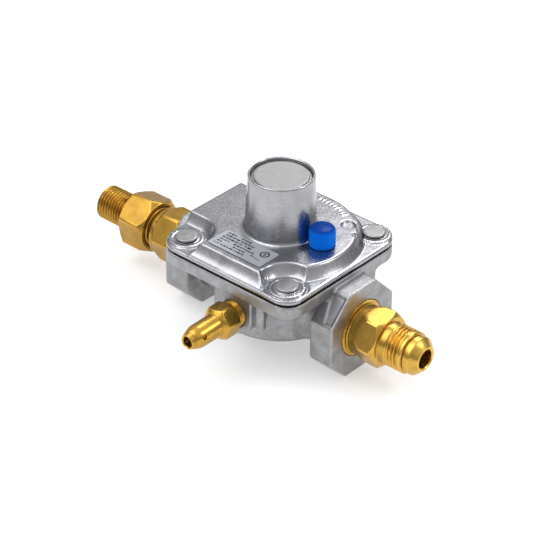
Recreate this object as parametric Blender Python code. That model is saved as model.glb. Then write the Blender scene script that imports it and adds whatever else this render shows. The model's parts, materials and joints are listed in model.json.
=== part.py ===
"""Square-flanged appliance gas pressure regulator with brass end fittings.

Frame: X along the gas pipe (inlet at -X, outlet at +X), Y to the back, Z up.
The origin is the centre of the flat underside of the bowl, on the tower's axis.
Lengths below are in millimetres; MM turns them into Blender's metres.
"""

import math

import bmesh
import bpy
from mathutils import Matrix

for item in list(bpy.data.objects):
    bpy.data.objects.remove(item, do_unlink=True)

MM = 0.001
GAP = 0.2               # clearance between pieces that touch

# Driving dimensions
FLANGE_HALF = 31.5      # half the flange's width, and its reach to the front
FLANGE_BACK = 30.5      # the flange's reach to the back
FLANGE_CORNERS = (9.0, 9.0, 9.0, 7.0)   # rear right, rear left, front left, front right
JOINT_Z = 27.5          # middle of the diaphragm sheet clamped in the flange
SHEET = 0.6             # thickness of that sheet
BODY_FLANGE = 4.9       # thickness of the lower casting's flange
COVER_FLANGE = 1.7      # thickness of the cover's flange
PLATEAU_Z = 33.9        # flat top of the cover
TOWER_TOP_Z = 56.1      # rim of the spring tower
TOWER_R = 12.0          # tower's outer radius at the rim
TOWER_BASE_R = 13.0     # and at the plateau
BOWL_R = 23.8           # round bowl under the flange
RIVET_PITCH = 47.4      # rivets stand on this square
PORT_Z = 8.2            # height of the pipe axis
COLLAR_AF = 33.8        # octagonal port collar, across its level and upright flats
COLLAR_FLAT = 16.4      # width of its lower flats
COLLAR_TOP = 14.4       # width of its upper flat
OUTLET_FACE = 38.6      # outlet collar's face
INLET_FACE = -41.3      # inlet collar's face
OUTLET_TIP = 66.9       # end of the outlet flare
INLET_TIP = -88.4       # end of the inlet pipe stub
PIPE_HALF_R = 10.65     # 1/2 inch taper pipe thread
PIPE_QUARTER_R = 6.85   # 1/4 inch taper pipe thread
PIPE_EIGHTH_R = 5.1     # 1/8 inch taper pipe thread
FLARE_R = 7.94          # 5/8-18 flare thread
TEST_X = 4.6            # test port's axis
TEST_Z = 13.7
TEST_TIP = -53.6        # end of the test nipple
TEST_BORE_R = 2.05
SIDE_HOLE_Y = -48.8     # small cross hole in its nose
SIDE_HOLE_RISE = 19     # degrees above level, towards the outlet
VENT_X = 18.3           # vent nipple and its cap
VENT_Y = 1.1
VALVE_TRAVEL = 1.5      # from fully open to shut

SHEET_LOW = JOINT_Z - SHEET / 2
SHEET_HIGH = JOINT_Z + SHEET / 2
BODY_TOP = SHEET_LOW - GAP
COVER_BOTTOM = SHEET_HIGH + GAP
COVER_FLANGE_TOP = COVER_BOTTOM + COVER_FLANGE
PAD_TOP = COVER_FLANGE_TOP + 0.7
RIVET_AT = RIVET_PITCH / 2


# Materials

def finish(name, colour, roughness, metallic):
    """A Principled material; colour is linear RGB."""
    made = bpy.data.materials.new(name)
    made.use_nodes = True
    shader = made.node_tree.nodes["Principled BSDF"]
    shader.inputs["Base Color"].default_value = (*colour, 1.0)
    shader.inputs["Roughness"].default_value = roughness
    shader.inputs["Metallic"].default_value = metallic
    made.diffuse_color = (*colour, 1.0)
    return made


CAST = ("cast_aluminium", (0.40, 0.40, 0.42), 0.38, 1.0)
BRASS = ("brass", (0.62, 0.42, 0.11), 0.25, 1.0)
STEEL = ("steel", (0.52, 0.52, 0.54), 0.3, 1.0)
RIVET = ("rivet_aluminium", (0.48, 0.48, 0.48), 0.42, 1.0)
RUBBER = ("black_rubber", (0.02, 0.02, 0.02), 0.7, 0.0)
BLUE = ("blue_plastic", (0.01, 0.10, 0.50), 0.25, 0.0)
WHITE = ("white_plastic", (0.75, 0.75, 0.72), 0.45, 0.0)
LABEL = ("label_foil", (0.50, 0.50, 0.53), 0.4, 0.3)


# Shape makers. Each gives a bmesh in metres.

def close_up(shape):
    """Merge the seam, drop faces without area and turn all faces outwards."""
    bmesh.ops.remove_doubles(shape, verts=shape.verts, dist=1e-7)
    bmesh.ops.dissolve_degenerate(shape, edges=shape.edges, dist=1e-7)
    bmesh.ops.recalc_face_normals(shape, faces=shape.faces)
    return shape


def turned(profile, segments=24):
    """Spin (radius, height) points about Z; a profile off the axis is a closed ring."""
    shape = bmesh.new()
    verts = [shape.verts.new((r * MM, 0.0, h * MM)) for r, h in profile]
    edges = [shape.edges.new(pair) for pair in zip(verts, verts[1:])]
    if profile[0][0] > 0 or profile[-1][0] > 0:
        edges.append(shape.edges.new((verts[-1], verts[0])))
    bmesh.ops.spin(shape, geom=verts + edges, axis=(0, 0, 1), cent=(0, 0, 0),
                   angle=2 * math.pi, steps=segments, use_merge=True)
    return close_up(shape)


def rod(radius, low, high, segments=24):
    """Solid cylinder about Z."""
    return turned([(0, low), (radius, low), (radius, high), (0, high)], segments)


def tube(inner, outer, low, high, segments=24):
    """Plain ring about Z."""
    return turned([(inner, low), (outer, low), (outer, high), (inner, high)], segments)


def lofted(low_outline, low, high_outline, high):
    """Solid between two outlines with the same number of points."""
    shape = bmesh.new()
    below = [shape.verts.new((x * MM, y * MM, low * MM)) for x, y in low_outline]
    above = [shape.verts.new((x * MM, y * MM, high * MM)) for x, y in high_outline]
    shape.faces.new(below)
    shape.faces.new(above)
    for i, start in enumerate(below):
        j = (i + 1) % len(below)
        shape.faces.new((start, below[j], above[j], above[i]))
    return close_up(shape)


def prism(outline, low, high):
    """Solid with one outline, from low to high."""
    return lofted(outline, low, outline, high)


def block(low_corner, high_corner):
    """Box between two corners."""
    x0, y0, z0 = low_corner
    x1, y1, z1 = high_corner
    return prism([(x0, y0), (x1, y0), (x1, y1), (x0, y1)], z0, z1)


def arc(centre, radius, start, end, steps):
    """Points on a circle, angles in degrees."""
    cx, cy = centre
    points = []
    for i in range(steps + 1):
        angle = math.radians(start + (end - start) * i / steps)
        points.append((cx + radius * math.cos(angle), cy + radius * math.sin(angle)))
    return points


def flange_outline(inset=0.0, steps=4):
    """The flange's outline with its round corners, pulled in by inset."""
    side = FLANGE_HALF - inset
    back = FLANGE_BACK - inset
    corners = ((side, back), (-side, back), (-side, -side), (side, -side))
    points = []
    for turn, ((x, y), radius) in enumerate(zip(corners, FLANGE_CORNERS)):
        centre = (x - math.copysign(radius, x), y - math.copysign(radius, y))
        points += arc(centre, radius, 90 * turn, 90 * turn + 90, steps)
    return points


def polygon(across_flats, sides, turn=0.5):
    """Regular polygon; turn is in steps of its corner angle."""
    radius = across_flats / 2 / math.cos(math.pi / sides)
    step = 360 / sides
    return arc((0, 0), radius, turn * step, turn * step + 360 - step, sides - 1)


TO_X = Matrix.Rotation(math.radians(90), 4, "Y")             # shape's +Z becomes +X
TO_MINUS_X = Matrix.Rotation(math.radians(-90), 4, "Y")      # shape's +Z becomes -X
TO_MINUS_Y = Matrix.Rotation(math.radians(90), 4, "X")       # shape's +Z becomes -Y


# Object makers

def put(name, shape, look=None, at=(0, 0, 0), turn=None, carrier=None):
    """Make an object from a bmesh, its origin at the given point."""
    if turn is not None:
        bmesh.ops.transform(shape, matrix=turn, verts=shape.verts)
    mesh = bpy.data.meshes.new(name)
    shape.to_mesh(mesh)
    shape.free()
    mesh.shade_smooth()
    mesh.set_sharp_from_angle(angle=math.radians(35))
    made = bpy.data.objects.new(name, mesh)
    bpy.context.scene.collection.objects.link(made)
    made.location = [value * MM for value in at]
    if look:
        kind, colour, roughness, metallic = look
        mesh.materials.append(finish(f"{name}_{kind}", colour, roughness, metallic))
    if carrier:
        made.parent = carrier
        made.location = made.location - carrier.location
    return made


def carrier_at(name, at):
    """Empty that carries one moving body, on its joint's axis."""
    made = bpy.data.objects.new(name, None)
    bpy.context.scene.collection.objects.link(made)
    made.location = [value * MM for value in at]
    return made


def boolean(target, operation, name, shape, at=(0, 0, 0), turn=None):
    """Add or cut a shape with a Boolean modifier and a hidden guide object."""
    guide = put(name, shape, at=at, turn=turn)
    guide.hide_render = True
    guide.display_type = "WIRE"
    modifier = target.modifiers.new(name, "BOOLEAN")
    modifier.solver = "EXACT"
    modifier.operation = operation
    modifier.object = guide


def add(target, name, shape, at=(0, 0, 0), turn=None):
    boolean(target, "UNION", name, shape, at, turn)


def cut(target, name, shape, at=(0, 0, 0), turn=None):
    boolean(target, "DIFFERENCE", name, shape, at, turn)


def keep(target, name, shape, at=(0, 0, 0), turn=None):
    boolean(target, "INTERSECT", name, shape, at, turn)


RIVET_PLACES = {
    "front_left": (-RIVET_AT, -RIVET_AT),
    "front_right": (RIVET_AT, -RIVET_AT),
    "rear_left": (-RIVET_AT, RIVET_AT),
    "rear_right": (RIVET_AT, RIVET_AT),
}
RIVET_SHANK_R = 2.4
RIVET_HOLE_R = RIVET_SHANK_R + GAP

# Inside the lower casting
CHAMBER_R = 20.0        # outlet chamber under the diaphragm
CHAMBER_FLOOR = 17.3
INLET_CHAMBER_R = 8.5   # inlet chamber under the seat
INLET_FLOOR = 3.6
PARTITION_LOW = 13.8    # underside of the wall between the two chambers
SEAT_HOLE_R = 6.2
PASSAGE_R = 5.8
PASSAGE_Z = 9.4
WELL_X = 16.0           # well from the outlet chamber down to the outlet passage
WELL_R = 5.5
THREAD_DEPTH = 10.0
BUSH_POCKET_R = 3.4
BUSH_POCKET_Z = 2.6
BUSH_BOSS_TOP = 6.2


def make_lower_body():
    flange_low = BODY_TOP - BODY_FLANGE
    body = put("lower_body", prism(flange_outline(), flange_low, BODY_TOP), CAST)
    bowl = [(0, 0), (BOWL_R - 3.2, 0), (BOWL_R - 1.4, 0.6), (BOWL_R - 0.4, 1.8), (BOWL_R, 3.6),
            (BOWL_R, 24), (0, 24)]
    add(body, "bowl", turned(bowl, 36))

    half = COLLAR_AF / 2
    flat = COLLAR_FLAT / 2
    upper = COLLAR_TOP / 2
    neck = [(0, 12), (7.0, 13), (11.6, 20), (11.6, 31), (0, 31)]
    collar_back = {"outlet": 28.2, "inlet": 30.3}
    for port, face, turn in (("outlet", OUTLET_FACE, TO_X), ("inlet", -INLET_FACE, TO_MINUS_X)):
        add(body, f"{port}_neck", turned(neck), at=(0, 0, PORT_Z), turn=turn)
        up = -1 if port == "outlet" else 1
        side = [(up * half, upper), (up * upper, half), (-up * flat, half), (-up * half, flat)]
        collar = side + [(x, -y) for x, y in reversed(side)]
        add(body, f"{port}_collar", prism(collar, collar_back[port], face), (0, 0, PORT_Z), turn)
    add(body, "outlet_web", block((20, 4, 14.3), (31.2, 16.4, 24)))

    boss_r = 8.0
    boss = arc((0, 0), boss_r, 180, 360, 10) + [(boss_r, 10.0), (-boss_r, 10.0)]
    add(body, "test_boss", prism(boss, 14, 30), at=(TEST_X, 0, TEST_Z), turn=TO_MINUS_Y)
    add(body, "boss_rib", rod(1.8, 7.8, 23, 10), at=(TEST_X + boss_r, -24.6, 0))

    cut(body, "outlet_chamber", rod(CHAMBER_R, CHAMBER_FLOOR, BODY_TOP + 2, 36))
    chamber = [(0, BUSH_POCKET_Z), (BUSH_POCKET_R, BUSH_POCKET_Z), (BUSH_POCKET_R, BUSH_BOSS_TOP),
               (4.8, BUSH_BOSS_TOP), (4.8, INLET_FLOOR), (INLET_CHAMBER_R, INLET_FLOOR),
               (INLET_CHAMBER_R, PARTITION_LOW), (0, PARTITION_LOW)]
    cut(body, "inlet_chamber", turned(chamber))
    cut(body, "seat_hole", rod(SEAT_HOLE_R, PARTITION_LOW - 1, CHAMBER_FLOOR + 1))
    cut(body, "outlet_well", rod(WELL_R, INLET_FLOOR + 0.3, CHAMBER_FLOOR + 1, 16), at=(WELL_X, 0, 0))
    thread_hole = PIPE_HALF_R + GAP
    for port, face, turn, reach in (("outlet", OUTLET_FACE, TO_X, WELL_X),
                                    ("inlet", -INLET_FACE, TO_MINUS_X, INLET_CHAMBER_R - 2)):
        cut(body, f"{port}_passage", rod(PASSAGE_R, reach, face - 3, 16), (0, 0, PASSAGE_Z), turn)
        cut(body, f"{port}_thread", rod(thread_hole, face - THREAD_DEPTH, face + 2), (0, 0, PORT_Z), turn)
    cut(body, "test_thread", rod(PIPE_EIGHTH_R + GAP, 16, 32, 16), (TEST_X, 0, TEST_Z), TO_MINUS_Y)
    for place, (x, y) in RIVET_PLACES.items():
        cut(body, f"body_rivet_hole_{place}", rod(RIVET_HOLE_R, 15, 30, 10), at=(x, y, 0))


# Cover

SCOOP_TOP_R = 10.3      # pocket round a rivet, at the plateau
SCOOP_LOW_R = 7.5       # and at the flange
PLATEAU_SIDE_R = 27.2   # the plateau's round side, towards the outlet and the back
PLATEAU_FRONT = 27.0    # the plateau's straight front edge
SKIRT_AT_RIVET = 29.0   # foot of the sloping skirt beside the rear right rivet
SKIRT_SIDE = 30.6       # and towards the outlet
SKIRT_BACK = 29.9       # and the back
SKIRT_FRONT = 30.2      # and the front
COVER_ROOM_R = 21.4     # room above the diaphragm
COVER_CEILING = 31.7
SPRING_BORE_R = 9.6
SCREW_BORE_R = 10.3
SCREW_BORE_LOW = 41.8
CAP_BORE_R = 10.95
CAP_BORE_LOW = 53.0


def plateau_reach(angle):
    """Distance from the tower's axis to the plateau's round edge."""
    return PLATEAU_SIDE_R


def skirt_reach(angle):
    """The same at the skirt's foot: the flange's edge, drawn in round the rear right rivet."""
    turn = math.radians(angle)
    edge = SKIRT_SIDE / math.cos(turn) if angle < 45 else SKIRT_BACK / math.sin(turn)
    share = min(1.0, ((angle - 45) / 30) ** 2)
    return SKIRT_AT_RIVET + (edge - SKIRT_AT_RIVET) * share


def plateau_outline(scoop, front, reach):
    """Outline with a round pocket at three rivets, and a curved side towards the outlet and the back."""
    at = RIVET_AT
    left = FLANGE_HALF - 0.2
    start = -35.0 if reach is plateau_reach else -25.0
    points = [(-left, -at + scoop)]
    points += arc((-at, -at), scoop, 90, 0, 5)
    points += [(-at + scoop, -front), (at - scoop, -front)]
    side = []
    steps = 16
    for i in range(steps + 1):
        angle = start + (90 - start) * i / steps
        radius = reach(angle)
        side.append((radius * math.cos(math.radians(angle)), radius * math.sin(math.radians(angle))))
    swing = math.degrees(math.atan2(side[0][1] + at, side[0][0] - at))
    points += arc((at, -at), scoop, 180, swing, 6)[:-1]
    points += side
    points.append((-at + scoop, side[-1][1]))
    points += arc((-at, at), scoop, 0, -90, 5)
    points.append((-left, at - scoop))
    return points


def make_cover():
    cover = put("cover", prism(flange_outline(), COVER_BOTTOM, COVER_FLANGE_TOP), CAST)
    low = plateau_outline(SCOOP_LOW_R, SKIRT_FRONT, skirt_reach)
    high = plateau_outline(SCOOP_TOP_R, PLATEAU_FRONT, plateau_reach)
    add(cover, "plateau", lofted(low, COVER_FLANGE_TOP - 0.5, high, PLATEAU_Z))
    for place, (x, y) in RIVET_PLACES.items():
        add(cover, f"rivet_pad_{place}", rod(6.6, COVER_BOTTOM + 0.5, PAD_TOP, 20), at=(x, y, 0))
    tower = [(0, COVER_CEILING + 1), (TOWER_BASE_R, COVER_CEILING + 1), (TOWER_BASE_R, PLATEAU_Z),
             (TOWER_R, TOWER_TOP_Z - 0.3), (TOWER_R - 0.3, TOWER_TOP_Z), (0, TOWER_TOP_Z)]
    add(cover, "tower", turned(tower, 32))
    room = [(0, COVER_BOTTOM - 1), (COVER_ROOM_R, COVER_BOTTOM - 1), (COVER_ROOM_R, COVER_CEILING - 1),
            (COVER_ROOM_R - 1, COVER_CEILING), (SPRING_BORE_R, COVER_CEILING),
            (SPRING_BORE_R, SCREW_BORE_LOW), (SCREW_BORE_R, SCREW_BORE_LOW),
            (SCREW_BORE_R, CAP_BORE_LOW), (CAP_BORE_R, CAP_BORE_LOW),
            (CAP_BORE_R, TOWER_TOP_Z + 1), (0, TOWER_TOP_Z + 1)]
    cut(cover, "cover_room", turned(room, 32))
    cut(cover, "vent_hole", rod(2.5, COVER_CEILING - 1, PLATEAU_Z + 1, 12), at=(VENT_X, VENT_Y, 0))
    for place, (x, y) in RIVET_PLACES.items():
        cut(cover, f"cover_rivet_hole_{place}", rod(RIVET_HOLE_R, 25, 32, 10), at=(x, y, 0))


def make_rivets():
    head = PAD_TOP + GAP
    tail = BODY_TOP - BODY_FLANGE - GAP
    profile = [(0, tail - 1.0), (3.2, tail - 1.0), (3.6, tail - 0.5), (3.6, tail), (RIVET_SHANK_R, tail),
               (RIVET_SHANK_R, head), (4.15, head), (4.15, head + 0.6), (3.9, head + 0.85),
               (0, head + 0.85)]
    for place, (x, y) in RIVET_PLACES.items():
        put(f"flange_rivet_{place}", turned(profile, 14), RIVET, at=(x, y, 0))


def make_diaphragm():
    """Sheet clamped at its rim, with one rolling fold outside the plates."""
    fold_r = 19.0
    fold_half = 1.9
    fold_height = 1.7
    sheet = put("diaphragm", prism(flange_outline(0.15), SHEET_LOW, SHEET_HIGH), RUBBER)
    inner = fold_r - fold_half
    outer = fold_r + fold_half
    cut(sheet, "fold_room", tube(inner, outer, SHEET_LOW - 1, SHEET_HIGH + 1, 28))
    steps = 4
    rises = [math.sin(math.pi * i / steps) * fold_height for i in range(steps + 1)]
    radii = [inner - 0.4 + (outer - inner + 0.8) * i / steps for i in range(steps + 1)]
    under = [(r, SHEET_LOW + rise) for r, rise in zip(radii, rises)]
    over = [(r, SHEET_HIGH + rise) for r, rise in zip(radii, rises)]
    add(sheet, "fold", turned(under + over[::-1], 28))
    cut(sheet, "stem_room", rod(1.9, SHEET_LOW - 1, SHEET_HIGH + 3, 14))
    for place, (x, y) in RIVET_PLACES.items():
        cut(sheet, f"sheet_rivet_hole_{place}", rod(RIVET_HOLE_R, 25, 30, 10), at=(x, y, 0))


# Valve, hung on the diaphragm

STEM_R = 1.6
STEM_LOW = 4.2
PLATE_R = 16.4
PAD_Z = 13.2            # top of the rubber pad when the valve is open
SEAT_LIP_Z = PAD_Z + VALVE_TRAVEL + 0.05


def make_seat():
    lip = 4.3
    body_r = 6.0
    orifice = 3.2
    profile = [(orifice, SEAT_LIP_Z), (lip, SEAT_LIP_Z), (body_r, SEAT_LIP_Z + 0.6),
               (body_r, 15.55), (4.9, 15.55), (4.9, 16.75), (body_r, 16.75), (body_r, CHAMBER_FLOOR + GAP),
               (7.4, CHAMBER_FLOOR + GAP), (7.4, CHAMBER_FLOOR + 1.8), (orifice, CHAMBER_FLOOR + 1.8)]
    put("seat_insert", turned(profile), BRASS)
    ring = arc((5.55, 16.15), 0.5, 0, 300, 5)
    put("seat_o_ring", turned(ring), RUBBER)
    put("stem_guide", tube(STEM_R + 0.1, BUSH_POCKET_R - GAP, BUSH_POCKET_Z + GAP, BUSH_BOSS_TOP + 0.3, 16),
        BRASS)


def make_valve():
    carrier = carrier_at("valve_carrier", (0, 0, PAD_Z))
    place = {"at": (0, 0, PAD_Z), "carrier": carrier}

    def local(profile):
        return [(r, h - PAD_Z) for r, h in profile]

    under_plate = SHEET_LOW - GAP - 1.0
    shoulder_top = under_plate - GAP
    stem = [(0, STEM_LOW), (STEM_R - 0.3, STEM_LOW), (STEM_R, STEM_LOW + 0.4), (STEM_R, shoulder_top - 1.0),
            (2.6, shoulder_top - 1.0), (2.6, shoulder_top), (STEM_R, shoulder_top),
            (STEM_R, 32.0), (STEM_R - 0.3, 32.3), (0, 32.3)]
    put("valve_stem", turned(local(stem), 14), STEEL, **place)

    bore = STEM_R + GAP
    pad_low = PAD_Z - 1.2
    put("poppet_pad", turned(local([(bore, pad_low), (5.0, pad_low), (5.0, PAD_Z - 0.2), (4.8, PAD_Z),
                                    (bore, PAD_Z)]), 20), RUBBER, **place)
    disc_high = pad_low - GAP
    disc_low = disc_high - 1.8
    put("poppet_disc", turned(local([(bore, disc_low), (3.6, disc_low), (5.2, disc_low + 0.7),
                                     (5.2, disc_high), (bore, disc_high)]), 20), BRASS, **place)
    ring_high = disc_low - GAP
    put("poppet_retainer", turned(local([(bore, ring_high - 0.8), (3.2, ring_high - 0.8),
                                         (3.2, ring_high), (bore, ring_high)]), 14), STEEL, **place)
    put("diaphragm_plate_lower", turned(local([(bore, under_plate), (PLATE_R - 0.5, under_plate),
                                               (PLATE_R, under_plate + 0.5), (PLATE_R, SHEET_LOW - GAP),
                                               (bore, SHEET_LOW - GAP)])), STEEL, **place)
    over_low = SHEET_HIGH + GAP
    cup = [(bore, over_low), (PLATE_R, over_low), (PLATE_R, over_low + 0.5), (PLATE_R - 0.5, over_low + 1.0),
           (9.6, over_low + 1.0), (9.3, over_low + 1.8), (8.7, over_low + 1.8), (8.7, over_low + 1.0),
           (bore, over_low + 1.0)]
    put("diaphragm_plate_upper", turned(local(cup)), STEEL, **place)
    nut_low = over_low + 1.0 + GAP
    nut = put("stem_nut", prism(polygon(6.0, 6), nut_low - PAD_Z, nut_low + 2.4 - PAD_Z), STEEL, **place)
    cut(nut, "nut_bore", rod(bore, 25, 35, 12))


# Spring, its upper seat, the adjusting screw and the tower's seal cap

SPRING_R = 7.3
SPRING_WIRE_R = 0.65
SPRING_LOW = SHEET_HIGH + 2 * GAP + 1.0
SPRING_HIGH = 44.4
SPRING_TURNS = 6
SPRING_SEAT_TOP = 46.4
SCREW_TOP = 50.4


def make_spring():
    """Compression spring: closed end turns at both ends, open turns between."""
    per_turn = 12
    total = SPRING_TURNS * per_turn
    low = SPRING_LOW + SPRING_WIRE_R + 0.05
    high = SPRING_HIGH - SPRING_WIRE_R - 0.05
    flat = 2.1 * SPRING_WIRE_R
    curve = bpy.data.curves.new("main_spring", "CURVE")
    curve.dimensions = "3D"
    curve.bevel_depth = SPRING_WIRE_R * MM
    curve.bevel_resolution = 1
    curve.use_fill_caps = True
    spline = curve.splines.new("POLY")
    spline.points.add(total)
    for i, point in enumerate(spline.points):
        turns = i / per_turn
        along = min(turns, 1) * flat + min(max(SPRING_TURNS - turns, 0), 1) * -flat + flat
        middle = min(max(turns - 1, 0), SPRING_TURNS - 2) / (SPRING_TURNS - 2)
        height = low + along + middle * (high - low - 2 * flat)
        angle = 2 * math.pi * turns
        point.co = (SPRING_R * math.cos(angle) * MM, SPRING_R * math.sin(angle) * MM, height * MM, 1)
    kind, colour, roughness, metallic = STEEL
    curve.materials.append(finish("main_spring_steel", colour, roughness, metallic))
    made = bpy.data.objects.new("main_spring", curve)
    bpy.context.scene.collection.objects.link(made)


def make_adjuster():
    carrier = carrier_at("adjuster_carrier", (0, 0, SPRING_SEAT_TOP))
    place = {"at": (0, 0, SPRING_SEAT_TOP), "carrier": carrier}
    top = SPRING_SEAT_TOP

    def local(profile):
        return [(r, h - top) for r, h in profile]

    seat = [(0, SPRING_HIGH - 1.6), (5.6, SPRING_HIGH - 1.6), (6.2, SPRING_HIGH + GAP),
            (9.2, SPRING_HIGH + GAP), (9.2, top - 0.3), (8.9, top), (0, top)]
    put("spring_seat", turned(local(seat)), STEEL, **place)
    low = top + GAP
    screw = put("adjusting_screw", turned(local([(0, low), (9.6, low), (10.1, low + 0.5),
                                                 (10.1, SCREW_TOP - 0.5), (9.6, SCREW_TOP),
                                                 (0, SCREW_TOP)])), WHITE, **place)
    slot = block((-7.5, -0.9, SCREW_TOP - 1.8), (7.5, 0.9, SCREW_TOP + 1))
    cut(screw, "screwdriver_slot", slot)


def make_seal_cap():
    low = CAP_BORE_LOW + GAP
    carrier = carrier_at("seal_cap_carrier", (0, 0, low))
    place = {"at": (0, 0, low), "carrier": carrier}
    radius = CAP_BORE_R - 0.15
    profile = [(0, 0), (radius - 0.2, 0), (radius, 0.2), (radius, 0.5), (radius - 0.75, 0.5),
               (radius - 0.75, 1.4), (radius, 1.4), (radius, 1.8), (radius - 0.2, 2.0), (0, 2.0)]
    put("seal_cap", turned(profile, 32), CAST, **place)
    ring = arc((radius - 0.33, 0.95), 0.36, 0, 300, 5)
    put("seal_cap_ring", turned(ring, 32), RUBBER, **place)


def make_vent():
    at = (VENT_X, VENT_Y, PLATEAU_Z)
    nipple = [(0.9, -1.9), (2.3, -1.9), (2.3, GAP), (3.3, GAP), (3.3, 1.0), (2.3, 1.0), (2.3, 4.6),
              (2.0, 5.2), (0.9, 5.2)]
    put("vent_nipple", turned(nipple, 14), BRASS, at=at)
    carrier = carrier_at("vent_cap_carrier", at)
    cap_r = 4.85
    top = 7.4
    cap = [(3.6, GAP), (cap_r - 0.1, GAP), (cap_r, 0.4), (cap_r - 0.1, top - 0.9), (cap_r - 0.35, top - 0.3),
           (cap_r - 0.9, top), (0, top), (0, top - 1.6), (2.5, top - 1.6), (2.5, 1.3), (3.6, 1.3)]
    put("vent_cap", turned(cap), BLUE, at=at, carrier=carrier)


def make_label():
    width = 24.4
    depth = 10.6
    centre_y = -19.8
    low = PLATEAU_Z + 0.1
    put("label_plate", block((-width / 2, centre_y - depth / 2, low),
                             (width / 2, centre_y + depth / 2, low + 0.25)), LABEL)


# Brass fittings. Each is turned along its own +Z and then laid on its port's axis.

HEX_SEGMENTS = 24
FLARE_BORE_R = 3.55


def chamfered_hex(target, name, across_flats, low, high, at, turn, clock, low_cut=1.0, high_cut=1.0):
    """Join a hexagon whose corners are turned off; clock is in degrees, each cut in millimetres along it."""
    corner = across_flats / 2 / math.cos(math.pi / 6)
    face = across_flats / 2 - 0.2
    outline = arc((0, 0), corner, clock, clock + 300, 5)
    hexagon = put(f"{name}_hexagon", prism(outline, low, high), at=at, turn=turn)
    hexagon.hide_render = True
    hexagon.display_type = "WIRE"
    wide = corner + 0.4
    shaper = turned([(0, low - 0.01), (face, low - 0.01), (wide, low + low_cut), (wide, high - high_cut),
                     (face, high + 0.01), (0, high + 0.01)], HEX_SEGMENTS)
    keep(hexagon, f"{name}_shaper", shaper, at=at, turn=turn)
    modifier = target.modifiers.new(f"{name}_join", "BOOLEAN")
    modifier.solver = "EXACT"
    modifier.operation = "UNION"
    modifier.object = hexagon


def flare_connector(name, face, hexagon, shoulder, thread_end, tip, turn, clock, cuts):
    """Taper pipe thread, hexagon, round shoulder and male flare end; lengths are from the tower's axis."""
    at = (0, 0, PORT_Z)
    start = face - THREAD_DEPTH + 0.6
    hex_low, hex_high = hexagon
    profile = [(0, start), (PIPE_HALF_R - 0.9, start), (PIPE_HALF_R - 0.3, start + 1.2),
               (PIPE_HALF_R, face + 1.8), (9.2, face + 2.6), (9.4, hex_high - 1), (9.4, shoulder - 0.4),
               (9.0, shoulder), (7.6, shoulder + 0.1), (7.6, shoulder + 3.0), (FLARE_R, shoulder + 3.4),
               (FLARE_R, thread_end), (7.0, thread_end + 0.6), (7.15, thread_end + 0.9),
               (7.15, tip - 2.5), (4.6, tip), (0, tip)]
    body = put(name, turned(profile, HEX_SEGMENTS), BRASS, at=at, turn=turn)
    chamfered_hex(body, name, CONNECTOR_AF, hex_low, hex_high, at, turn, clock, *cuts)
    cut(body, f"{name}_bore", rod(FLARE_BORE_R, start - 1, tip + 1, 16), at=at, turn=turn)


CONNECTOR_AF = 18.8     # both connectors' hexagons, across flats


def make_outlet_connector():
    flare_connector("outlet_connector", OUTLET_FACE, (41.6, 51.0), 51.2, 61.2, OUTLET_TIP, TO_X, 94,
                    (2.2, 1.2))


def make_inlet_connector():
    flare_connector("inlet_connector", -INLET_FACE, (45.6, 56.0), 57.5, 64.6, 69.2, TO_MINUS_X, 37,
                    (1.2, 1.8))


def make_inlet_adapter():
    """Female flare end over the connector's flare, with a pipe stub beyond it."""
    at = (0, 0, PORT_Z)
    hex_low = 60.3
    hex_high = 72.5
    tip = -INLET_TIP
    stub_bore = 3.9
    profile = [(0, hex_low), (9.3, hex_low), (9.8, hex_low + 0.6), (9.8, hex_high - 1), (6.0, hex_high),
               (PIPE_QUARTER_R, hex_high + 0.6), (PIPE_QUARTER_R - 0.25, tip - 1.2), (6.0, tip), (0, tip)]
    body = put("inlet_adapter", turned(profile, HEX_SEGMENTS), BRASS, at=at, turn=TO_MINUS_X)
    chamfered_hex(body, "adapter", 20.0, hex_low, hex_high, at, TO_MINUS_X, 50, 2.6, 0.9)
    socket_r = FLARE_R + GAP
    inside = [(0, hex_low - 1), (socket_r + 0.7, hex_low - 1), (socket_r + 0.7, hex_low),
              (socket_r, hex_low + 0.7), (socket_r, 66.6), (4.7, 69.6), (stub_bore, 70.4),
              (stub_bore, tip + 1), (0, tip + 1)]
    cut(body, "adapter_bore", turned(inside, 20), at=at, turn=TO_MINUS_X)


def make_test_nipple():
    at = (TEST_X, 0, TEST_Z)
    start = 21.0
    hex_low = 32.4
    hex_high = 39.8
    tip = -TEST_TIP
    nose_r = 4.35
    profile = [(0, start), (PIPE_EIGHTH_R - 0.6, start), (PIPE_EIGHTH_R - 0.2, start + 0.8),
               (PIPE_EIGHTH_R, hex_low - 0.4), (nose_r, hex_low + 1), (nose_r, tip - 4.6),
               (3.9, tip - 2.6), (2.8, tip), (0, tip)]
    body = put("test_nipple", turned(profile, 20), BRASS, at=at, turn=TO_MINUS_Y)
    chamfered_hex(body, "test", 11.4, hex_low, hex_high, at, TO_MINUS_Y, 10, 0.8, 1.6)
    cut(body, "test_bore", rod(TEST_BORE_R, start - 1, tip + 1, 14), at=at, turn=TO_MINUS_Y)
    lean = Matrix.Rotation(math.radians(90 - SIDE_HOLE_RISE), 4, "Y")
    cut(body, "side_hole", rod(1.0, 0, 8, 10), at=(TEST_X, SIDE_HOLE_Y, TEST_Z), turn=lean)


make_lower_body()
make_cover()
make_rivets()
make_diaphragm()
make_seat()
make_valve()
make_spring()
make_adjuster()
make_seal_cap()
make_vent()
make_label()
make_outlet_connector()
make_inlet_connector()
make_inlet_adapter()
make_test_nipple()
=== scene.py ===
# Compact gas appliance regulator: two cast halves, brass fittings, rivets, caps, label and stage round the frame.

import json
import math
import random

import bmesh
import bpy
import numpy as np
from mathutils import Matrix, Vector


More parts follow.
